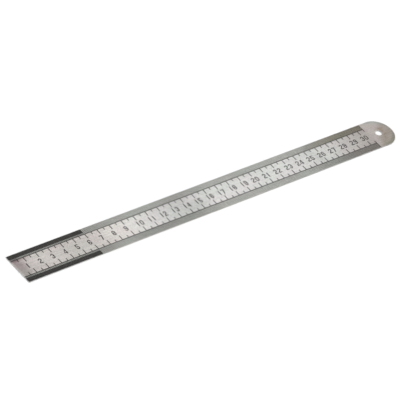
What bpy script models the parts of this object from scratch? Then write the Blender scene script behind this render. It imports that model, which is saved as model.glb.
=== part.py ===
"""Steel ruler, 30 cm: a flat spring-steel blade with black paint in its scales and numerals.

The graduated face looks along +Z and the back face lies on z = 0. The origin is the middle of
the back face. +X runs from the square zero end to the round end that has the hanging hole.
"""

import math

import bmesh
import bpy
from mathutils import Vector

MM = 0.001

# Blade
LENGTH = 325.0 * MM
WIDTH = 25.0 * MM
THICKNESS = 0.7 * MM
END_RADIUS = WIDTH / 2
END_SEGMENTS = 48
HOLE_DIAMETER = 5.0 * MM
HOLE_FROM_TIP = 11.5 * MM
HOLE_SEGMENTS = 40
EDGE_BREAK = 0.05 * MM
SHARP_ANGLE = math.radians(30)

# Paint, which stands a hair above the face so that the solids stay apart
PAINT_GAP = 0.02 * MM
PAINT_THICKNESS = 0.03 * MM
PAINT_BOTTOM = THICKNESS + PAINT_GAP
PAINT_TOP = PAINT_BOTTOM + PAINT_THICKNESS

# Scales, one along each long edge
SCALE_STEPS = 305
STEP = 1.0 * MM
STEPS_TO_LONG_LINE = 5
STEPS_TO_LONGEST_LINE = 10
LINE_WIDTH = 0.36 * MM
LONG_LINE_WIDTH = 0.6 * MM
EDGE_MARGIN = 0.06 * MM
BORDER_FROM_EDGE = 5.0 * MM
BORDER_WIDTH = 0.5 * MM
LONG_LINE_PAST_BORDER = 2.0 * MM
LONGEST_LINE_PAST_BORDER = 3.8 * MM

# Numerals, along the middle of the face
LAST_NUMERAL = 30
NUMERAL_PITCH = 10.0 * MM
NUMERAL_HEIGHT = 4.2 * MM
NUMERAL_WIDTH = 2.5 * MM
NUMERAL_STROKE = 0.62 * MM
BEND_SEGMENTS = 4
BASELINE_Y = -NUMERAL_HEIGHT / 2
SINGLE_DIGIT_SHIFT = -1.52 * MM
TENS_DIGIT_SHIFT = -1.6 * MM
UNITS_DIGIT_SHIFT = 1.72 * MM
TEENS_TENS_SHIFT = -1.33 * MM
TEENS_UNITS_SHIFT = 1.85 * MM
ONE_WIDTH = 0.72 * MM
WAIST_NOTCH = 0.16 * MM
TWO_HEEL_HEIGHT = 0.85 * MM
TWO_BEND_TURN = math.radians(35)
THREE_BAR_LEFT = -0.15 * MM
FOUR_BAR_LEFT = 0.3 * MM
FOUR_CROSSBAR_HEIGHT = 0.8 * MM
FOUR_CROSSBAR_STROKE = 0.5 * MM
FOUR_SLOPE_STROKE = 0.4 * MM
BOWL_TOP = 2.4 * MM
BOWL_CORNER = 0.85 * MM
SEVEN_FOOT_LEFT = -0.5 * MM
SEVEN_STROKE = 0.74 * MM

ZERO_END_X = -LENGTH / 2
ROUND_END_X = LENGTH / 2
HALF_WIDTH = WIDTH / 2

# Every figure fills one upright box with round ends, about x = 0 and with its foot on y = 0
HALF_FIGURE = NUMERAL_WIDTH / 2
HALF_HOLE = HALF_FIGURE - NUMERAL_STROKE
HALF_STROKE = NUMERAL_STROKE / 2
UPPER_CENTRE = (0.0, NUMERAL_HEIGHT - HALF_FIGURE)
LOWER_CENTRE = (0.0, HALF_FIGURE)
WAIST = NUMERAL_HEIGHT / 2

# Finishes
STEEL_COLOUR = (0.62, 0.62, 0.61)
STEEL_ROUGHNESS = 0.35
PAINT_COLOUR = (0.02, 0.02, 0.02)
PAINT_ROUGHNESS = 0.6


def make_material(name, colour, roughness, metallic):
    material = bpy.data.materials.new(name)
    material.use_nodes = True
    shader = material.node_tree.nodes["Principled BSDF"]
    shader.inputs["Base Color"].default_value = (*colour, 1.0)
    shader.inputs["Roughness"].default_value = roughness
    shader.inputs["Metallic"].default_value = metallic
    return material


def arc_points(centre, radius, start, end, segments):
    """Points on an arc in the XY plane, both ends included."""
    angles = [start + (end - start) * i / segments for i in range(segments + 1)]
    return [(centre[0] + radius * math.cos(a), centre[1] + radius * math.sin(a)) for a in angles]


def make_plate(name, outlines, bottom, top, material):
    """A flat solid between two heights. The first outline is its rim, and any others are holes."""
    bm = bmesh.new()
    for outline in outlines:
        ring = [bm.verts.new((x, y, bottom)) for x, y in outline]
        for here, following in zip(ring, ring[1:] + ring[:1]):
            bm.edges.new((here, following))
    bmesh.ops.triangle_fill(bm, use_beauty=True, edges=bm.edges)
    extruded = bmesh.ops.extrude_face_region(bm, geom=bm.faces[:], use_keep_orig=True)
    raised = [item for item in extruded["geom"] if isinstance(item, bmesh.types.BMVert)]
    bmesh.ops.translate(bm, verts=raised, vec=(0.0, 0.0, top - bottom))
    bmesh.ops.recalc_face_normals(bm, faces=bm.faces)
    mesh = bpy.data.meshes.new(name)
    bm.to_mesh(mesh)
    bm.free()
    mesh.materials.append(material)
    plate = bpy.data.objects.new(name, mesh)
    bpy.context.collection.objects.link(plate)
    return plate


def make_blade(material):
    end_centre = (ROUND_END_X - END_RADIUS, 0.0)
    quarter_turn = math.pi / 2
    rim = [(ZERO_END_X, HALF_WIDTH), (ZERO_END_X, -HALF_WIDTH)]
    rim += arc_points(end_centre, END_RADIUS, -quarter_turn, quarter_turn, END_SEGMENTS)
    hole_centre = (ROUND_END_X - HOLE_FROM_TIP, 0.0)
    hole = arc_points(hole_centre, HOLE_DIAMETER / 2, 0.0, 2 * math.pi, HOLE_SEGMENTS)[:-1]
    blade = make_plate("blade", [rim, hole], 0.0, THICKNESS, material)
    edge_break = blade.modifiers.new("edge_break", "BEVEL")
    edge_break.width = EDGE_BREAK
    edge_break.segments = 1
    edge_break.limit_method = "ANGLE"
    edge_break.angle_limit = SHARP_ANGLE
    return blade


def line_length_past_border(step):
    """How far a graduation line runs past the border line, towards the middle of the blade."""
    if step % STEPS_TO_LONGEST_LINE == 0:
        return LONGEST_LINE_PAST_BORDER
    if step % STEPS_TO_LONG_LINE == 0:
        return LONG_LINE_PAST_BORDER
    return 0.0


def scale_outline(side):
    """The rim of one scale: a border line with a comb of graduation lines. side is +1 or -1 in Y."""
    outer_end = side * (HALF_WIDTH - EDGE_MARGIN)
    border_outer = side * (HALF_WIDTH - BORDER_FROM_EDGE + BORDER_WIDTH / 2)
    border_inner = side * (HALF_WIDTH - BORDER_FROM_EDGE - BORDER_WIDTH / 2)
    border_start = ZERO_END_X + EDGE_MARGIN
    outer = [(border_start, border_outer)]
    inner = [(border_start, border_inner)]
    for step in range(1, SCALE_STEPS + 1):
        line_x = ZERO_END_X + step * STEP
        # the closing line is bold over its whole length, the others only past the border line
        width = LONG_LINE_WIDTH if step == SCALE_STEPS else LINE_WIDTH
        left = line_x - width / 2
        right = line_x + width / 2
        outer += [(left, border_outer), (left, outer_end), (right, outer_end), (right, border_outer)]
        reach = line_length_past_border(step)
        if reach > 0.0:
            inner_end = border_inner - side * reach
            left = line_x - LONG_LINE_WIDTH / 2
            right = line_x + LONG_LINE_WIDTH / 2
            inner += [(left, border_inner), (left, inner_end), (right, inner_end), (right, border_inner)]
    # the border line stops flush with the closing line
    return outer[:-1] + inner[-2::-1]


def make_scale(name, side, material):
    return make_plate(name, [scale_outline(side)], PAINT_BOTTOM, PAINT_TOP, material)


def upper_bend(radius, start=0.0, end=math.pi):
    """The round upper end of a figure, or part of it."""
    return arc_points(UPPER_CENTRE, radius, start, end, 2 * BEND_SEGMENTS)


def lower_bend(radius, start=math.pi, end=2 * math.pi):
    """The round lower end of a figure, or part of it."""
    return arc_points(LOWER_CENTRE, radius, start, end, 2 * BEND_SEGMENTS)


def stroke_outline(path, width):
    """The rim of a stroke of that width along an open path, with mitred bends and square ends."""
    points = [Vector(point) for point in path]
    directions = [(after - here).normalized() for here, after in zip(points, points[1:])]
    left = []
    right = []
    for here, before, after in zip(points, directions[:1] + directions, directions + directions[-1:]):
        across = Vector((-before.y - after.y, before.x + after.x)) / (1 + before.dot(after))
        left.append(here + across * width / 2)
        right.append(here - across * width / 2)
    return [tuple(point) for point in right + left[::-1]]


def figure_zero():
    """Like the other figures, a list of outlines: the rim first, and then any holes."""
    return [
        upper_bend(HALF_FIGURE) + lower_bend(HALF_FIGURE),
        upper_bend(HALF_HOLE) + lower_bend(HALF_HOLE),
    ]


def figure_one():
    half = ONE_WIDTH / 2
    return [[(-half, 0.0), (half, 0.0), (half, NUMERAL_HEIGHT), (-half, NUMERAL_HEIGHT)]]


def figure_two():
    side = HALF_FIGURE - HALF_STROKE
    path = upper_bend(side, math.pi, -TWO_BEND_TURN)
    path += [(-side, TWO_HEEL_HEIGHT), (-side, HALF_STROKE), (HALF_FIGURE, HALF_STROKE)]
    return [stroke_outline(path, NUMERAL_STROKE)]


def figure_three():
    rim = upper_bend(HALF_FIGURE, math.pi, 0.0)
    rim += [(HALF_FIGURE, WAIST + WAIST_NOTCH), (HALF_FIGURE - WAIST_NOTCH, WAIST)]
    rim += [(HALF_FIGURE, WAIST - WAIST_NOTCH)]
    rim += lower_bend(HALF_FIGURE, 0.0, -math.pi)
    rim += lower_bend(HALF_HOLE, -math.pi, 0.0)
    rim += [(HALF_HOLE, WAIST - HALF_STROKE), (THREE_BAR_LEFT, WAIST - HALF_STROKE)]
    rim += [(THREE_BAR_LEFT, WAIST + HALF_STROKE), (HALF_HOLE, WAIST + HALF_STROKE)]
    rim += upper_bend(HALF_HOLE, 0.0, math.pi)
    return [rim]


def figure_four():
    """An upright bar, a crossbar and a sloping stroke, round a three-cornered hole."""
    bar_right = FOUR_BAR_LEFT + NUMERAL_STROKE
    crossbar_top = FOUR_CROSSBAR_HEIGHT + FOUR_CROSSBAR_STROKE
    slope = Vector((FOUR_BAR_LEFT + HALF_FIGURE, NUMERAL_HEIGHT - crossbar_top))
    hole_left = -HALF_FIGURE + FOUR_SLOPE_STROKE * slope.length / slope.y
    hole_top = NUMERAL_HEIGHT - FOUR_SLOPE_STROKE * slope.length / slope.x
    rim = [
        (FOUR_BAR_LEFT, 0.0),
        (bar_right, 0.0),
        (bar_right, FOUR_CROSSBAR_HEIGHT),
        (HALF_FIGURE, FOUR_CROSSBAR_HEIGHT),
        (HALF_FIGURE, crossbar_top),
        (bar_right, crossbar_top),
        (bar_right, NUMERAL_HEIGHT),
        (FOUR_BAR_LEFT, NUMERAL_HEIGHT),
        (-HALF_FIGURE, crossbar_top),
        (-HALF_FIGURE, FOUR_CROSSBAR_HEIGHT),
        (FOUR_BAR_LEFT, FOUR_CROSSBAR_HEIGHT),
    ]
    hole = [(FOUR_BAR_LEFT, crossbar_top), (FOUR_BAR_LEFT, hole_top), (hole_left, crossbar_top)]
    return [rim, hole]


def figure_five():
    side = HALF_FIGURE - HALF_STROKE
    path = [(HALF_FIGURE, NUMERAL_HEIGHT - HALF_STROKE), (-side, NUMERAL_HEIGHT - HALF_STROKE)]
    path += [(-side, HALF_FIGURE + side)]
    path += arc_points(LOWER_CENTRE, side, math.pi / 2, -math.pi, 3 * BEND_SEGMENTS)
    return [stroke_outline(path, NUMERAL_STROKE)]


def figure_six():
    """A bowl, and a left side that bends over at the top into an open hook."""
    corner_centre = (HALF_FIGURE - BOWL_CORNER, BOWL_TOP - BOWL_CORNER)
    quarter_turn = math.pi / 2
    rim = upper_bend(HALF_FIGURE) + lower_bend(HALF_FIGURE)
    rim += arc_points(corner_centre, BOWL_CORNER, 0.0, quarter_turn, BEND_SEGMENTS)
    rim += [(-HALF_HOLE, BOWL_TOP)]
    rim += upper_bend(HALF_HOLE, math.pi, 0.0)
    hole = lower_bend(HALF_HOLE)
    hole += arc_points(corner_centre, BOWL_CORNER - NUMERAL_STROKE, 0.0, quarter_turn, BEND_SEGMENTS)
    hole += [(-HALF_HOLE, BOWL_TOP - NUMERAL_STROKE)]
    return [rim, hole]


def figure_seven():
    crossbar_bottom = NUMERAL_HEIGHT - NUMERAL_STROKE
    return [
        [
            (-HALF_FIGURE, NUMERAL_HEIGHT),
            (-HALF_FIGURE, crossbar_bottom),
            (HALF_FIGURE - SEVEN_STROKE, crossbar_bottom),
            (SEVEN_FOOT_LEFT, 0.0),
            (SEVEN_FOOT_LEFT + SEVEN_STROKE, 0.0),
            (HALF_FIGURE, crossbar_bottom),
            (HALF_FIGURE, NUMERAL_HEIGHT),
        ]
    ]


def figure_eight():
    rim = upper_bend(HALF_FIGURE)
    rim += [(-HALF_FIGURE, WAIST + WAIST_NOTCH), (-HALF_FIGURE + WAIST_NOTCH, WAIST)]
    rim += [(-HALF_FIGURE, WAIST - WAIST_NOTCH)]
    rim += lower_bend(HALF_FIGURE)
    rim += [(HALF_FIGURE, WAIST - WAIST_NOTCH), (HALF_FIGURE - WAIST_NOTCH, WAIST)]
    rim += [(HALF_FIGURE, WAIST + WAIST_NOTCH)]
    upper_hole = upper_bend(HALF_HOLE)
    upper_hole += [(-HALF_HOLE, WAIST + HALF_STROKE), (HALF_HOLE, WAIST + HALF_STROKE)]
    lower_hole = lower_bend(HALF_HOLE)
    lower_hole += [(HALF_HOLE, WAIST - HALF_STROKE), (-HALF_HOLE, WAIST - HALF_STROKE)]
    return [rim, upper_hole, lower_hole]


def figure_nine():
    """A six, turned half round."""
    return [[(-x, NUMERAL_HEIGHT - y) for x, y in outline] for outline in figure_six()]


FIGURES = (
    figure_zero,
    figure_one,
    figure_two,
    figure_three,
    figure_four,
    figure_five,
    figure_six,
    figure_seven,
    figure_eight,
    figure_nine,
)


def make_digit(name, digit, centre_x, material):
    outlines = [[(x + centre_x, y + BASELINE_Y) for x, y in outline] for outline in FIGURES[digit]()]
    return make_plate(name, outlines, PAINT_BOTTOM, PAINT_TOP, material)


def make_numerals(material):
    for number in range(1, LAST_NUMERAL + 1):
        line_x = ZERO_END_X + number * NUMERAL_PITCH
        tens, units = divmod(number, 10)
        if tens == 0:
            make_digit(f"numeral_{number}", units, line_x + SINGLE_DIGIT_SHIFT, material)
            continue
        # the narrow 1 stands closer to the figure after it
        tens_shift = TEENS_TENS_SHIFT if tens == 1 else TENS_DIGIT_SHIFT
        units_shift = TEENS_UNITS_SHIFT if tens == 1 else UNITS_DIGIT_SHIFT
        make_digit(f"numeral_{number}_tens", tens, line_x + tens_shift, material)
        make_digit(f"numeral_{number}_units", units, line_x + units_shift, material)


def main():
    for old in list(bpy.data.objects):
        bpy.data.objects.remove(old)
    steel = make_material("brushed_steel", STEEL_COLOUR, STEEL_ROUGHNESS, 1.0)
    paint = make_material("black_paint", PAINT_COLOUR, PAINT_ROUGHNESS, 0.0)
    make_blade(steel)
    make_scale("upper_scale_paint", 1, paint)
    make_scale("lower_scale_paint", -1, paint)
    make_numerals(paint)


main()
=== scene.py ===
"""Looks for the steel ruler: finished blade, painted marks, materials, floor, light and camera."""

import math
from types import SimpleNamespace

import bmesh
import bpy
from mathutils import Matrix, Vector


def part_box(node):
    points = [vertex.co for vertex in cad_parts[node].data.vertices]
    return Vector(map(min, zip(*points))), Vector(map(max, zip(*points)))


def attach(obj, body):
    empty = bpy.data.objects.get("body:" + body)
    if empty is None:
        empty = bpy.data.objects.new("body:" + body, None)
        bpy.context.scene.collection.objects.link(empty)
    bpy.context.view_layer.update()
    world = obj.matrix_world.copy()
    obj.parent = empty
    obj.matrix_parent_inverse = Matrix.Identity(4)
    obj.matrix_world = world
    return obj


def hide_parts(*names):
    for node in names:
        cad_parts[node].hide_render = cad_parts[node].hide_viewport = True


MM = 0.001

# Blade details that the frame leaves to this script
RIM_SEGMENTS = 160
HOLE_SEGMENTS = 72
HOLE_DIAMETER = 5.0 * MM
HOLE_FROM_TIP = 11.5 * MM
EDGE_ROUNDING = 0.05 * MM
EDGE_ROUNDING_SEGMENTS = 3
SHARP_ANGLE = math.radians(40)
FLAT_ANGLE = math.radians(1)

# Half-millimetre lines
FINE_ZONE_LENGTH = 60.0 * MM
FINE_LINE_STEP = 1.0 * MM
FINE_LINE_LENGTH = 3.5 * MM
FINE_LINE_WIDTH = 0.3 * MM
FINE_LINE_EDGE_MARGIN = 0.06 * MM

# Scales
MM_BAND_DEPTH = 5.0 * MM
SCALE_END = 305.0 * MM

# Softness of the borders between zones of the steel
BAND_BLEND = 0.2 * MM
FINE_ZONE_BLEND = 0.15 * MM
FINE_BAND_INNER_BLEND = 0.1 * MM
FINE_BAND_OUTER_BLEND = 0.05 * MM
SIDE_BLEND = 8.0 * MM
TIP_SIDE_BLEND = 2.0 * MM

# Where wear and painted shade start and end, measured from the zero end
# Painted shade at the zero end and in its corner beside the upper scale, weaker within 2 mm of the end
ZERO_END_SHADE_REACH = (4.0 * MM, 10.0 * MM)
ZERO_END_CORNER_SHADE_REACH = (9.0 * MM, 16.0 * MM)
ZERO_END_SHADE_EASE = (0.5 * MM, 2.0 * MM)
WARM_START = (70.0 * MM, 120.0 * MM)
PAST_FINE_ZONE = (60.0 * MM, 130.0 * MM)
ROUND_END_GRIME = (235.0 * MM, 285.0 * MM)
OLIVE_END = (240.0 * MM, 270.0 * MM)
BROWN_END = (255.0 * MM, 315.0 * MM)
STAINED_END = (310.0 * MM, 319.0 * MM)
BARE_END = (SCALE_END - 2.0 * MM, SCALE_END + 4.0 * MM)
# Painted shade along the round end's rim starts past the scale
RIM_SHADE_START = (SCALE_END + 2.0 * MM, SCALE_END + 8.0 * MM)

# Where wear and painted shade start and end, measured from the middle line, the rim or the hole
BESIDE_UPPER_SCALE = (5.0 * MM, 7.0 * MM)
# Painted shade along the round end's rim: how far it fades towards the tip, and how wide it is
RIM_SHADE_TIP_REACH = 9.0 * MM
RIM_SHADE_WIDTH = (0.6 * MM, 3.5 * MM)
RUBBED_WIDTH = (0.03 * MM, 0.25 * MM)
RIM_BLEND = (0.01 * MM, 0.04 * MM)
HANGING_MARKS = (1.0 * MM, 7.5 * MM)

# How far the borders of worn and shaded zones wander, and how much of that some of them follow
WANDER = 30.0 * MM
ZERO_END_SHADE_WANDER = 0.3
STAIN_WANDER = 0.5
STAIN_LEAN = -0.8

# Largest shares of grime, and how strongly it turns olive on the upper side
ROUND_END_GRIME_SHARE = 0.42
FINE_ZONE_GRIME_SHARE = 0.45
PAST_FINE_ZONE_SHARE = 0.23
OLIVE_GAIN = 2.0

# Noise scales on X, Y and Z, in features per metre, and the weights of the grain's three layers
FINE_GRAIN_SCALE = (60, 5200, 5200)
COARSE_GRAIN_SCALE = (25, 1300, 1300)
SPECKLE_SCALE = (1100, 1300, 1300)
CLOUD_SCALE = (55, 90, 90)
HUE_SCALE = (48, 75, 75)
SMUDGE_SCALE = (260, 380, 380)
RESIDUE_SCALE = (900, 1500, 1500)
STALE_SCALE = (160, 420, 420)
GRINDING_SCALE = (5200, 700, 400)
RUB_SCALE = (350, 350, 350)
PAINT_DEPTH_SCALE = (700, 700, 700)
PAINT_WEAR_SCALE = (2600, 2600, 2600)
FLOOR_MOTTLE_SCALE = (3, 3, 3)
FINE_GRAIN_WEIGHT = 0.4
COARSE_GRAIN_WEIGHT = 0.12
SPECKLE_WEIGHT = 0.48
BUMP_DEPTH = 0.01 * MM
GRAIN_MAP = "along_blade"

# Noise levels between which a pattern goes from none to full
GRAIN_LEVELS = (0.38, 0.62)
HUE_LEVELS = (0.35, 0.65)
GLOSS_LEVELS = (0.35, 0.65)
BROAD_LEVELS = (0.3, 0.7)
SPOT_LEVELS = (0.4, 0.6)
SMUDGE_LEVELS = (0.45, 0.6)
PATCHY_LEVELS = (0.25, 0.6)
PAINT_WEAR_LEVELS = (0.68, 0.78)

# How strong each pattern is
CLOUD_GAIN = (0.96, 1.03)
GRINDING_GAIN = (0.6, 0.95)
PATCHY_SHARE = (0.85, 1.0)
# Share of the zero end's painted shade left at its very edge
ZERO_END_SHADE_AT_EDGE = 0.4
RUBBED_CORNER_SHARE = 0.6
SCALE_SIDE_MARKS = 0.25
# Share of the rim's painted shade left at the tip
RIM_SHADE_AT_TIP = 0.3
PAINT_WEAR_SHARE = 0.5

# Shine
STEEL_ROUGHNESS = (0.32, 0.42)
CLOUD_ROUGHNESS = 0.06
RIM_ROUGHNESS = 0.1
RESIDUE_ROUGHNESS = 0.15
RESIDUE_METAL_LOSS = 0.9
STEEL_ANISOTROPY = 0.3
STEEL_BUMP = 0.25
PAINT_ROUGHNESS = (0.45, 0.65)
PAINT_SPECULAR = 0.3
PAINT_BUMP = 0.2
FLOOR_ROUGHNESS = 0.9
FLOOR_SPECULAR = 0.1

# Steel and paint colours
WHITE = (1.0, 1.0, 1.0, 1.0)
STEEL_DARK = (0.57, 0.57, 0.56, 1.0)
STEEL_LIGHT = (0.79, 0.79, 0.78, 1.0)
STEEL_GREENISH = (0.98, 1.0, 0.975, 1.0)
STEEL_PINKISH = (1.0, 0.975, 0.975, 1.0)
# Painted shade at the zero end: pinkish on the upper side, grey on the lower, and a tint for the corner
# beside the upper scale
ZERO_END_SHADE_PINKISH = (0.63, 0.56, 0.6, 1.0)
ZERO_END_SHADE_GREY = (0.7, 0.68, 0.68, 1.0)
ZERO_END_CORNER_SHADE_TINT = (0.7, 0.64, 0.65, 1.0)
BROWN_TINT = (0.73, 0.655, 0.635, 1.0)
WARM_TINT = (1.0, 0.95, 0.93, 1.0)
BAND_TINT = (0.98, 1.0, 0.965, 1.0)
OLIVE_TINT = (1.0, 0.97, 0.82, 1.0)
CLEAN_SIDE_TINT = (1.15, 1.17, 1.19, 1.0)
STAINED_SIDE_TINT = (0.88, 0.87, 0.83, 1.0)
# Painted shade along the round end's rim, bluish on the upper side and darker olive on the lower
UPPER_RIM_SHADE = (0.86, 0.93, 0.96, 1.0)
LOWER_RIM_SHADE = (0.76, 0.79, 0.76, 1.0)
HANGING_TINT = (0.84, 0.78, 0.71, 1.0)
RESIDUE_DARK = (0.022, 0.018, 0.012, 1.0)
RESIDUE_LIGHT = (0.046, 0.041, 0.03, 1.0)
RIM_COLOUR = (0.6, 0.6, 0.59, 1.0)
RUBBED_CORNER = (0.85, 0.85, 0.84, 1.0)

PAINT_DARK = (0.012, 0.012, 0.012, 1.0)
PAINT_LIGHT = (0.035, 0.034, 0.032, 1.0)
PAINT_WORN = (0.2, 0.2, 0.2, 1.0)

FLOOR_DARK = (0.92, 0.92, 0.92, 1.0)
FLOOR_LIGHT = (0.94, 0.94, 0.94, 1.0)

# Painted reflection: broad stretches where the steel is painted lighter or darker, as a slightly uneven face
# would mirror the studio: middle, half-length and gain
PAINTED_SHEEN_PATCHES = (
    (22.0 * MM, 24.0 * MM, 1.14),
    (88.0 * MM, 34.0 * MM, 1.17),
    (140.0 * MM, 28.0 * MM, 0.84),
    (256.0 * MM, 7.0 * MM, 0.9),
)

# Grime in the lower scale: middle, half-length and largest share
LOWER_GRIME_PATCH = (108.0 * MM, 46.0 * MM, 0.3)

# Camera
LOOK_AT = (-9.97 * MM, 0.89 * MM, 0.0)
CAMERA_DISTANCE = 2.0836
CAMERA_HEADING = math.radians(39.65)
CAMERA_ELEVATION = math.radians(39.57)
CAMERA_ROLL = math.radians(16.82)
CAMERA_LENS = 287.1
SENSOR_WIDTH = 36.0
CLIP_START = 0.1
CLIP_END = 20.0

# Studio
FLOOR_SIZE = 6.0
FLOOR_DROP = 0.02 * MM
BRIGHT_SIDE_RISE = 0.35
FAR_TO_NEAR_SIDE = (-0.7, 0.8)
FAR_SIDE_STRENGTH = 0.48
NEAR_SIDE_STRENGTH = 1.5
FAR_LIGHT_POWER = 0.11
FAR_LIGHT_DISTANCE = 0.5
FAR_LIGHT_SIZE = (0.2, 0.15)
FAR_LIGHT_CENTRE = (0.0, 0.0, 0.0)


def add_node(tree, kind, inputs=None, **settings):
    """A shader node with its settings. Each input is a value, or a socket to link from."""
    node = tree.nodes.new(kind)
    for name, value in settings.items():
        setattr(node, name, value)
    for key, value in (inputs or {}).items():
        if isinstance(value, bpy.types.NodeSocket):
            tree.links.new(value, node.inputs[key])
        else:
            node.inputs[key].default_value = value
    return node


def calculate(tree, operation, *values):
    """The output of a Math node."""
    return add_node(tree, "ShaderNodeMath", dict(enumerate(values)), operation=operation).outputs[0]


def ramp_between(tree, value, low, high, start=0.0, end=1.0):
    """value mapped smoothly from low..high to start..end, and held beyond them."""
    inputs = {"Value": value, "From Min": low, "From Max": high, "To Min": start, "To Max": end}
    settings = {"interpolation_type": "SMOOTHSTEP", "clamp": True}
    return add_node(tree, "ShaderNodeMapRange", inputs, **settings).outputs[0]


def mix_colour(tree, share, first, second, blend="MIX"):
    node = add_node(tree, "ShaderNodeMix", data_type="RGBA", blend_type=blend)
    for socket, value in ((node.inputs[0], share), (node.inputs[6], first), (node.inputs[7], second)):
        if isinstance(value, bpy.types.NodeSocket):
            tree.links.new(value, socket)
        else:
            socket.default_value = value
    return node.outputs[2]


def noise(tree, place, scale, detail=2.0, roughness=0.5):
    """Noise whose features are 1/scale metres long on each axis."""
    stretched = add_node(tree, "ShaderNodeMapping", {"Vector": place, "Scale": scale}).outputs[0]
    inputs = {"Vector": stretched, "Scale": 1.0, "Detail": detail, "Roughness": roughness}
    return add_node(tree, "ShaderNodeTexNoise", inputs).outputs[0]


def new_material(name):
    material = bpy.data.materials.new(name)
    material.use_nodes = True
    tree = material.node_tree
    shader = tree.nodes["Principled BSDF"]
    place = add_node(tree, "ShaderNodeTexCoord").outputs["Object"]
    return material, tree, shader, place


def link_bump(tree, shader, height, strength, distance):
    inputs = {"Height": height, "Strength": strength, "Distance": distance}
    bump = add_node(tree, "ShaderNodeBump", inputs)
    tree.links.new(bump.outputs[0], shader.inputs["Normal"])


def grey(tree, value):
    """A colour whose three channels are value."""
    return add_node(tree, "ShaderNodeCombineColor", {0: value, 1: value, 2: value}).outputs[0]


def invert(tree, value):
    """One minus value."""
    return calculate(tree, "SUBTRACT", 1.0, value)


def product(tree, first, *others):
    for other in others:
        first = calculate(tree, "MULTIPLY", first, other)
    return first


def multiply_colour(tree, first, second):
    return mix_colour(tree, 1.0, first, second, "MULTIPLY")


def tint(tree, colour, share, tint_colour):
    """colour multiplied by tint_colour where share is 1, and unchanged where it is 0."""
    return multiply_colour(tree, colour, mix_colour(tree, share, WHITE, tint_colour))


def patch_along(tree, along, middle, half_length, peak, elsewhere):
    """A value that is peak at middle and eases to elsewhere half_length away from it."""
    away = calculate(tree, "ABSOLUTE", calculate(tree, "SUBTRACT", along, middle))
    return ramp_between(tree, away, 0.0, half_length, peak, elsewhere)


def radius_from(tree, x, y, centre_x):
    """Distance in the XY plane from the point (centre_x, 0)."""
    along = calculate(tree, "SUBTRACT", x, centre_x)
    squares = calculate(tree, "ADD", calculate(tree, "POWER", along, 2.0), calculate(tree, "POWER", y, 2.0))
    return calculate(tree, "SQRT", squares)


def measure_blade(tree, place, low, high):
    """Where a point is on the blade: distances and zones, each a socket."""
    axes = add_node(tree, "ShaderNodeSeparateXYZ", {0: place}).outputs
    from_middle = calculate(tree, "ABSOLUTE", axes["Y"])
    from_zero_end = calculate(tree, "SUBTRACT", axes["X"], low.x)
    end_centre = high.x - high.y
    in_round_end = calculate(tree, "MAXIMUM", axes["X"], end_centre)
    from_rim = calculate(tree, "SUBTRACT", high.y, radius_from(tree, in_round_end, axes["Y"], end_centre))
    hole_centre = high.x - HOLE_FROM_TIP
    to_hole_centre = radius_from(tree, axes["X"], axes["Y"], hole_centre)
    on_front = ramp_between(tree, axes["Z"], (low.z + high.z) / 2, high.z - EDGE_ROUNDING)
    band_edge = high.y - MM_BAND_DEPTH
    in_mm_band = ramp_between(tree, from_middle, band_edge, band_edge + BAND_BLEND)
    return SimpleNamespace(
        across=axes["Y"],
        from_middle=from_middle,
        from_zero_end=from_zero_end,
        from_rim=calculate(tree, "MINIMUM", from_rim, from_zero_end),
        from_hole=calculate(tree, "SUBTRACT", to_hole_centre, HOLE_DIAMETER / 2),
        past_hole=calculate(tree, "SUBTRACT", axes["X"], hole_centre),
        on_front=on_front,
        in_mm_band=product(tree, in_mm_band, on_front),
        upper_side=ramp_between(tree, axes["Y"], -SIDE_BLEND, SIDE_BLEND),
    )


def steel_grain(tree, place):
    """Satin grain: fine lines along the blade over a soft mottle."""
    grain = product(tree, noise(tree, place, FINE_GRAIN_SCALE, 3.0), FINE_GRAIN_WEIGHT)
    coarse_grain = noise(tree, place, COARSE_GRAIN_SCALE)
    grain = calculate(tree, "MULTIPLY_ADD", coarse_grain, COARSE_GRAIN_WEIGHT, grain)
    speckle = noise(tree, place, SPECKLE_SCALE)
    return calculate(tree, "MULTIPLY_ADD", speckle, SPECKLE_WEIGHT, grain)


def steel_colour_and_painted_sheen(tree, place, grain, clouds, wandering):
    colour = mix_colour(tree, ramp_between(tree, grain, *GRAIN_LEVELS), STEEL_DARK, STEEL_LIGHT)
    hue = ramp_between(tree, noise(tree, place, HUE_SCALE, 1.0), *HUE_LEVELS)
    colour = multiply_colour(tree, colour, mix_colour(tree, hue, STEEL_GREENISH, STEEL_PINKISH))
    colour = multiply_colour(tree, colour, grey(tree, ramp_between(tree, clouds, *BROAD_LEVELS, *CLOUD_GAIN)))
    # Painted reflection: broad lighter and darker stretches along the blade
    painted_sheen = 1.0
    for middle, half_length, gain in PAINTED_SHEEN_PATCHES:
        painted_sheen = product(tree, painted_sheen, patch_along(tree, wandering, middle, half_length, gain, 1.0))
    return multiply_colour(tree, colour, grey(tree, painted_sheen))


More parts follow.
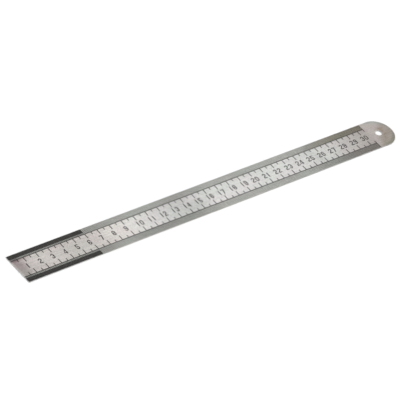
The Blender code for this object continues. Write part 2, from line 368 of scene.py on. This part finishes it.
def add_end_shade_and_wear(tree, colour, place, spot, wander, wandering):
    """Painted shade darkens the zero end, handling has marked the round end around its hole, and the round
    end has gone slightly brown.
    """
    # Painted shade at the zero end, pinkish on the upper side and weaker at the very end
    shade_reach = calculate(tree, "MULTIPLY_ADD", wander, ZERO_END_SHADE_WANDER, spot.from_zero_end)
    zero_end_shade = ramp_between(tree, shade_reach, *ZERO_END_SHADE_REACH, 1.0, 0.0)
    shade_eased_at_edge = ramp_between(tree, spot.from_zero_end, *ZERO_END_SHADE_EASE, ZERO_END_SHADE_AT_EDGE, 1.0)
    zero_end_shade_tint = mix_colour(tree, spot.upper_side, ZERO_END_SHADE_GREY, ZERO_END_SHADE_PINKISH)
    colour = tint(tree, colour, product(tree, zero_end_shade, shade_eased_at_edge), zero_end_shade_tint)
    colour = tint(tree, colour, ramp_between(tree, wandering, *BROWN_END), BROWN_TINT)

    # Painted shade in the corner beside the upper scale, off the scale's band
    corner_shade = ramp_between(tree, shade_reach, *ZERO_END_CORNER_SHADE_REACH, 1.0, 0.0)
    beside_upper_scale = ramp_between(tree, spot.across, *BESIDE_UPPER_SCALE)
    on_plain_front = calculate(tree, "SUBTRACT", spot.on_front, spot.in_mm_band)
    corner_shade = product(tree, corner_shade, beside_upper_scale, on_plain_front)
    colour = tint(tree, colour, corner_shade, ZERO_END_CORNER_SHADE_TINT)

    warm_start = ramp_between(tree, wandering, *WARM_START, 1.0, 0.0)
    warm_start = product(tree, warm_start, invert(tree, spot.in_mm_band))
    colour = tint(tree, colour, warm_start, WARM_TINT)
    colour = tint(tree, colour, spot.in_mm_band, BAND_TINT)

    hanging_marks = ramp_between(tree, spot.from_hole, *HANGING_MARKS, 1.0, 0.0)
    smudge = ramp_between(tree, noise(tree, place, SMUDGE_SCALE), *SMUDGE_LEVELS)
    tip_side = ramp_between(tree, spot.past_hole, -TIP_SIDE_BLEND, TIP_SIDE_BLEND, SCALE_SIDE_MARKS, 1.0)
    return tint(tree, colour, product(tree, hanging_marks, smudge, tip_side), HANGING_TINT)


def add_round_end_stain_and_rim_shade(tree, colour, spot, wander):
    """The round end is stained towards its tip and lower side, and painted shade runs along its rim, darker
    on the lower side.
    """
    lean = calculate(tree, "MULTIPLY_ADD", spot.across, STAIN_LEAN, spot.from_zero_end)
    lean = calculate(tree, "MULTIPLY_ADD", wander, STAIN_WANDER, lean)
    stained = ramp_between(tree, lean, *STAINED_END)
    end_tint = mix_colour(tree, stained, CLEAN_SIDE_TINT, STAINED_SIDE_TINT)
    in_bare_end = ramp_between(tree, spot.from_zero_end, *BARE_END)
    colour = tint(tree, colour, in_bare_end, end_tint)

    # Painted shade along the rim past the scale, weaker at the tip
    past_scale = ramp_between(tree, spot.from_zero_end, *RIM_SHADE_START)
    close_to_rim = ramp_between(tree, spot.from_rim, *RIM_SHADE_WIDTH, 1.0, 0.0)
    away_from_tip = ramp_between(tree, spot.from_middle, 0.0, RIM_SHADE_TIP_REACH, RIM_SHADE_AT_TIP, 1.0)
    rim_shade = mix_colour(tree, spot.upper_side, LOWER_RIM_SHADE, UPPER_RIM_SHADE)
    return tint(tree, colour, product(tree, past_scale, close_to_rim, away_from_tip), rim_shade)


def grime_share(tree, wandering, spot, in_fine_zone):
    """How much grime covers the steel between the millimetre lines."""
    near_round_end = ramp_between(tree, wandering, *ROUND_END_GRIME, 0.0, ROUND_END_GRIME_SHARE)
    past_fine_zone = ramp_between(tree, wandering, *PAST_FINE_ZONE, PAST_FINE_ZONE_SHARE, 0.0)
    beside_fine_lines = product(tree, in_fine_zone, FINE_ZONE_GRIME_SHARE)
    lower_patch = patch_along(tree, wandering, *LOWER_GRIME_PATCH, 0.0)
    lower_patch = product(tree, lower_patch, invert(tree, spot.upper_side))
    share = calculate(tree, "MAXIMUM", near_round_end, beside_fine_lines)
    share = calculate(tree, "MAXIMUM", share, lower_patch)
    share = calculate(tree, "MAXIMUM", share, past_fine_zone)
    before_round_end = ramp_between(tree, spot.from_zero_end, SCALE_END, SCALE_END + BAND_BLEND, 1.0, 0.0)
    return product(tree, spot.in_mm_band, share, before_round_end)


def fine_line_residue(tree, place, spot, half_width, in_fine_zone):
    """Paint residue stays between the closely spaced half-millimetre lines."""
    band_start = half_width - FINE_LINE_LENGTH
    in_fine_band = ramp_between(
        tree, spot.from_middle, band_start - FINE_BAND_INNER_BLEND, band_start + FINE_BAND_OUTER_BLEND
    )
    patchy = ramp_between(tree, noise(tree, place, RESIDUE_SCALE), *PATCHY_LEVELS, *PATCHY_SHARE)
    return product(tree, in_fine_zone, in_fine_band, spot.on_front, patchy)


def add_residue(tree, colour, place, spot, wandering, half_width):
    """The colour with grime and paint residue over it, and how much of them there is."""
    zone_end = FINE_ZONE_LENGTH + FINE_ZONE_BLEND
    in_fine_zone = ramp_between(tree, spot.from_zero_end, zone_end, zone_end + FINE_ZONE_BLEND, 1.0, 0.0)
    grime = grime_share(tree, wandering, spot, in_fine_zone)
    residue = fine_line_residue(tree, place, spot, half_width, in_fine_zone)
    residue = calculate(tree, "MAXIMUM", residue, grime)
    stale = ramp_between(tree, noise(tree, place, STALE_SCALE), *SPOT_LEVELS)
    residue_colour = mix_colour(tree, stale, RESIDUE_DARK, RESIDUE_LIGHT)
    colour = mix_colour(tree, residue, colour, residue_colour)
    olive = product(tree, grime, ramp_between(tree, wandering, *OLIVE_END))
    olive = product(tree, olive, product(tree, spot.upper_side, OLIVE_GAIN))
    return tint(tree, colour, olive, OLIVE_TINT), residue


def add_ground_rim(tree, colour, place, spot):
    """The rim is ground crosswise and its corners are rubbed bright. Also gives how far a point is on it."""
    grinding = ramp_between(tree, noise(tree, place, GRINDING_SCALE), *BROAD_LEVELS, *GRINDING_GAIN)
    from_edge = calculate(tree, "MINIMUM", spot.from_rim, spot.from_hole)
    on_rim = ramp_between(tree, from_edge, *RIM_BLEND, 1.0, 0.0)
    colour = mix_colour(tree, on_rim, colour, multiply_colour(tree, RIM_COLOUR, grey(tree, grinding)))
    rub = ramp_between(tree, noise(tree, place, RUB_SCALE, 3.0), *SPOT_LEVELS)
    near_rim = ramp_between(tree, spot.from_rim, *RUBBED_WIDTH, 1.0, 0.0)
    bright_corner = product(tree, calculate(tree, "SUBTRACT", near_rim, on_rim), rub)
    return mix_colour(tree, product(tree, bright_corner, RUBBED_CORNER_SHARE), colour, RUBBED_CORNER), on_rim


def brushed_steel(low, high):
    """Rolled and brushed spring steel. low and high are the blade's lowest and highest corners."""
    material, tree, shader, place = new_material("brushed_steel_finish")
    spot = measure_blade(tree, place, low, high)
    grain = steel_grain(tree, place)
    clouds = noise(tree, place, CLOUD_SCALE, 3.0)
    wander = product(tree, calculate(tree, "SUBTRACT", clouds, 0.5), WANDER)
    wandering = calculate(tree, "ADD", spot.from_zero_end, wander)

    colour = steel_colour_and_painted_sheen(tree, place, grain, clouds, wandering)
    colour = add_end_shade_and_wear(tree, colour, place, spot, wander, wandering)
    colour = add_round_end_stain_and_rim_shade(tree, colour, spot, wander)
    colour, residue = add_residue(tree, colour, place, spot, wandering, high.y)
    colour, on_rim = add_ground_rim(tree, colour, place, spot)
    tree.links.new(colour, shader.inputs["Base Color"])

    metal = invert(tree, product(tree, residue, RESIDUE_METAL_LOSS))
    tree.links.new(metal, shader.inputs["Metallic"])
    roughness = ramp_between(tree, grain, *GLOSS_LEVELS, *STEEL_ROUGHNESS)
    roughness = calculate(tree, "MULTIPLY_ADD", clouds, CLOUD_ROUGHNESS, roughness)
    roughness = calculate(tree, "MULTIPLY_ADD", on_rim, RIM_ROUGHNESS, roughness)
    roughness = calculate(tree, "MULTIPLY_ADD", residue, RESIDUE_ROUGHNESS, roughness)
    tree.links.new(roughness, shader.inputs["Roughness"])
    link_bump(tree, shader, grain, STEEL_BUMP, BUMP_DEPTH)
    shader.inputs["Anisotropic"].default_value = STEEL_ANISOTROPY
    tangent = add_node(tree, "ShaderNodeTangent", direction_type="UV_MAP", uv_map=GRAIN_MAP)
    tree.links.new(tangent.outputs[0], shader.inputs["Tangent"])
    return material


def black_paint():
    """Thin matt black paint in an etched mark, with a little variation in depth and gloss."""
    material, tree, shader, place = new_material("black_paint_finish")
    depth = noise(tree, place, PAINT_DEPTH_SCALE, 3.0)
    wear = noise(tree, place, PAINT_WEAR_SCALE)
    colour = mix_colour(tree, ramp_between(tree, depth, *BROAD_LEVELS), PAINT_DARK, PAINT_LIGHT)
    worn = ramp_between(tree, wear, *PAINT_WEAR_LEVELS, 0.0, PAINT_WEAR_SHARE)
    colour = mix_colour(tree, worn, colour, PAINT_WORN)
    tree.links.new(colour, shader.inputs["Base Color"])
    roughness = ramp_between(tree, depth, *BROAD_LEVELS, *PAINT_ROUGHNESS)
    tree.links.new(roughness, shader.inputs["Roughness"])
    shader.inputs["Specular IOR Level"].default_value = PAINT_SPECULAR
    link_bump(tree, shader, depth, PAINT_BUMP, BUMP_DEPTH)
    return material


def floor_material():
    material, tree, shader, place = new_material("pale_floor")
    mottle = noise(tree, place, FLOOR_MOTTLE_SCALE)
    colour = mix_colour(tree, mottle, FLOOR_DARK, FLOOR_LIGHT)
    tree.links.new(colour, shader.inputs["Base Color"])
    shader.inputs["Roughness"].default_value = FLOOR_ROUGHNESS
    shader.inputs["Specular IOR Level"].default_value = FLOOR_SPECULAR
    return material


def arc_points(centre, radius, start, end, segments):
    angles = [start + (end - start) * i / segments for i in range(segments + 1)]
    return [(centre[0] + radius * math.cos(a), centre[1] + radius * math.sin(a)) for a in angles]


def add_ring(bm, outline, z):
    ring = [bm.verts.new((x, y, z)) for x, y in outline]
    return [bm.edges.new(pair) for pair in zip(ring, ring[1:] + ring[:1])]


def raise_faces(bm, height):
    """Turns the flat faces of bm into a solid of that height."""
    extruded = bmesh.ops.extrude_face_region(bm, geom=bm.faces[:], use_keep_orig=True)
    raised = [item for item in extruded["geom"] if isinstance(item, bmesh.types.BMVert)]
    bmesh.ops.translate(bm, verts=raised, vec=(0.0, 0.0, height))
    bmesh.ops.recalc_face_normals(bm, faces=bm.faces)


def finish_mesh(name, bm, material):
    mesh = bpy.data.meshes.new(name)
    bm.to_mesh(mesh)
    bm.free()
    mesh.materials.append(material)
    piece = bpy.data.objects.new(name, mesh)
    bpy.context.scene.collection.objects.link(piece)
    return piece


def lay_out_uv(mesh, name):
    """A flat map whose U runs along the blade, so that the brushed highlight follows the grain."""
    layer = mesh.uv_layers.new(name=name)
    for loop in mesh.loops:
        place = mesh.vertices[loop.vertex_index].co
        layer.data[loop.index].uv = (place.x, place.y + place.z)


def make_blade(low, high, material):
    """The blade with fine round ends and softly rounded edges, in the frame's own box."""
    radius = (high.y - low.y) / 2
    quarter_turn = math.pi / 2
    rim = [(low.x, high.y), (low.x, low.y)]
    rim += arc_points((high.x - radius, 0.0), radius, -quarter_turn, quarter_turn, RIM_SEGMENTS)
    hole_centre = (high.x - HOLE_FROM_TIP, 0.0)
    hole = arc_points(hole_centre, HOLE_DIAMETER / 2, 0.0, 2 * math.pi, HOLE_SEGMENTS)[:-1]
    bm = bmesh.new()
    edges = add_ring(bm, rim, low.z) + add_ring(bm, hole, low.z)
    bmesh.ops.triangle_fill(bm, use_beauty=True, edges=edges)
    raise_faces(bm, high.z - low.z)
    bmesh.ops.dissolve_limit(bm, angle_limit=FLAT_ANGLE, verts=bm.verts, edges=bm.edges)
    sharp = [edge for edge in bm.edges if edge.calc_face_angle(0.0) > SHARP_ANGLE]
    settings = {"offset": EDGE_ROUNDING, "segments": EDGE_ROUNDING_SEGMENTS, "profile": 0.5}
    bmesh.ops.bevel(bm, geom=sharp, affect="EDGES", clamp_overlap=True, **settings)
    blade = finish_mesh("blade_finished", bm, material)
    blade.data.shade_smooth()
    blade.modifiers.new("flat_faces_stay_flat", "WEIGHTED_NORMAL")
    lay_out_uv(blade.data, GRAIN_MAP)
    return blade


def make_fine_lines(name, side, blade_low, blade_high, paint_low, paint_high, material):
    """The half-millimetre lines near the zero end, along one edge. side is +1 or -1 in Y."""
    outer = side * (blade_high.y - FINE_LINE_EDGE_MARGIN)
    inner = side * (blade_high.y - FINE_LINE_LENGTH)
    bm = bmesh.new()
    for step in range(round(FINE_ZONE_LENGTH / FINE_LINE_STEP)):
        middle = blade_low.x + (step + 0.5) * FINE_LINE_STEP
        left = middle - FINE_LINE_WIDTH / 2
        right = middle + FINE_LINE_WIDTH / 2
        corners = [(left, outer), (left, inner), (right, inner), (right, outer)]
        bm.faces.new([bm.verts.new((x, y, paint_low.z)) for x, y in corners])
    raise_faces(bm, paint_high.z - paint_low.z)
    return finish_mesh(name, bm, material)


def make_floor(low):
    bm = bmesh.new()
    half = FLOOR_SIZE / 2
    corners = [(-half, -half), (half, -half), (half, half), (-half, half)]
    bm.faces.new([bm.verts.new((x, y, low.z - FLOOR_DROP)) for x, y in corners])
    return finish_mesh("floor", bm, floor_material())


def make_area_light(name, place, target, size, power):
    light = bpy.data.lights.new(name, "AREA")
    light.shape = "RECTANGLE"
    light.size, light.size_y = size
    light.energy = power
    lamp = bpy.data.objects.new(name, light)
    lamp.location = place
    lamp.rotation_mode = "QUATERNION"
    lamp.rotation_quaternion = (Vector(target) - Vector(place)).to_track_quat("-Z", "Y")
    bpy.context.scene.collection.objects.link(lamp)
    return lamp


def make_world():
    """A soft white studio, brighter on the camera's side and overhead than on the far side."""
    world = bpy.data.worlds.new("studio")
    world.use_nodes = True
    tree = world.node_tree
    direction = add_node(tree, "ShaderNodeTexCoord").outputs["Generated"]
    bright_side = (-math.cos(CAMERA_HEADING), -math.sin(CAMERA_HEADING), BRIGHT_SIDE_RISE)
    inputs = {0: direction, 1: Vector(bright_side).normalized()}
    towards = add_node(tree, "ShaderNodeVectorMath", inputs, operation="DOT_PRODUCT").outputs["Value"]
    strength = ramp_between(tree, towards, *FAR_TO_NEAR_SIDE, FAR_SIDE_STRENGTH, NEAR_SIDE_STRENGTH)
    tree.links.new(strength, tree.nodes["Background"].inputs["Strength"])
    tree.nodes["Background"].inputs["Color"].default_value = WHITE
    bpy.context.scene.world = world


def heading_vector(rise):
    """A unit vector along the camera's heading, at the camera's elevation. rise is +1 or -1."""
    flat = math.cos(CAMERA_ELEVATION)
    across = flat * math.cos(CAMERA_HEADING)
    away = flat * math.sin(CAMERA_HEADING)
    return Vector((across, away, rise * math.sin(CAMERA_ELEVATION)))


def light_studio():
    """The world, and a softbox where the blade would mirror it to the camera."""
    make_world()
    centre = Vector(FAR_LIGHT_CENTRE)
    place = centre + heading_vector(1) * FAR_LIGHT_DISTANCE
    make_area_light("far_softbox", place, centre, FAR_LIGHT_SIZE, FAR_LIGHT_POWER)


def place_camera():
    """The camera looks down the blade from the zero end, rolled to the left."""
    camera_data = bpy.data.cameras.new("camera")
    camera_data.sensor_width = SENSOR_WIDTH
    camera_data.lens = CAMERA_LENS
    camera_data.clip_start = CLIP_START
    camera_data.clip_end = CLIP_END
    camera = bpy.data.objects.new("camera", camera_data)
    view = heading_vector(-1)
    aim = view.to_track_quat("-Z", "Y").to_matrix().to_4x4()
    roll = Matrix.Rotation(CAMERA_ROLL, 4, "Z")
    camera.matrix_world = Matrix.Translation(Vector(LOOK_AT) - view * CAMERA_DISTANCE) @ aim @ roll
    bpy.context.scene.collection.objects.link(camera)
    bpy.context.scene.camera = camera


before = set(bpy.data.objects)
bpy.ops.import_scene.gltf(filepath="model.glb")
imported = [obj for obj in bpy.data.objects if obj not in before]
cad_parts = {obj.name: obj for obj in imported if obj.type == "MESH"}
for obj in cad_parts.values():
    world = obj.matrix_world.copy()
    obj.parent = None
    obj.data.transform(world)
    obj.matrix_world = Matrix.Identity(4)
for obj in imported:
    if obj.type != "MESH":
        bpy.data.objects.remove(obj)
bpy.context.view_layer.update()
blade_low, blade_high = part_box("blade")
paint_low, paint_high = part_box("upper_scale_paint")

bpy.context.scene.view_settings.view_transform = "Standard"
place_camera()
light_studio()
make_floor(blade_low)

paint = black_paint()
for node_name, node_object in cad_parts.items():
    if node_name != "blade":
        node_object.data.materials.clear()
        node_object.data.materials.append(paint)

blade = make_blade(blade_low, blade_high, brushed_steel(blade_low, blade_high))
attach(blade, "root")
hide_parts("blade")

for side, side_name in ((1, "upper"), (-1, "lower")):
    lines = make_fine_lines(
        f"{side_name}_half_mm_lines", side, blade_low, blade_high, paint_low, paint_high, paint
    )
    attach(lines, "root")
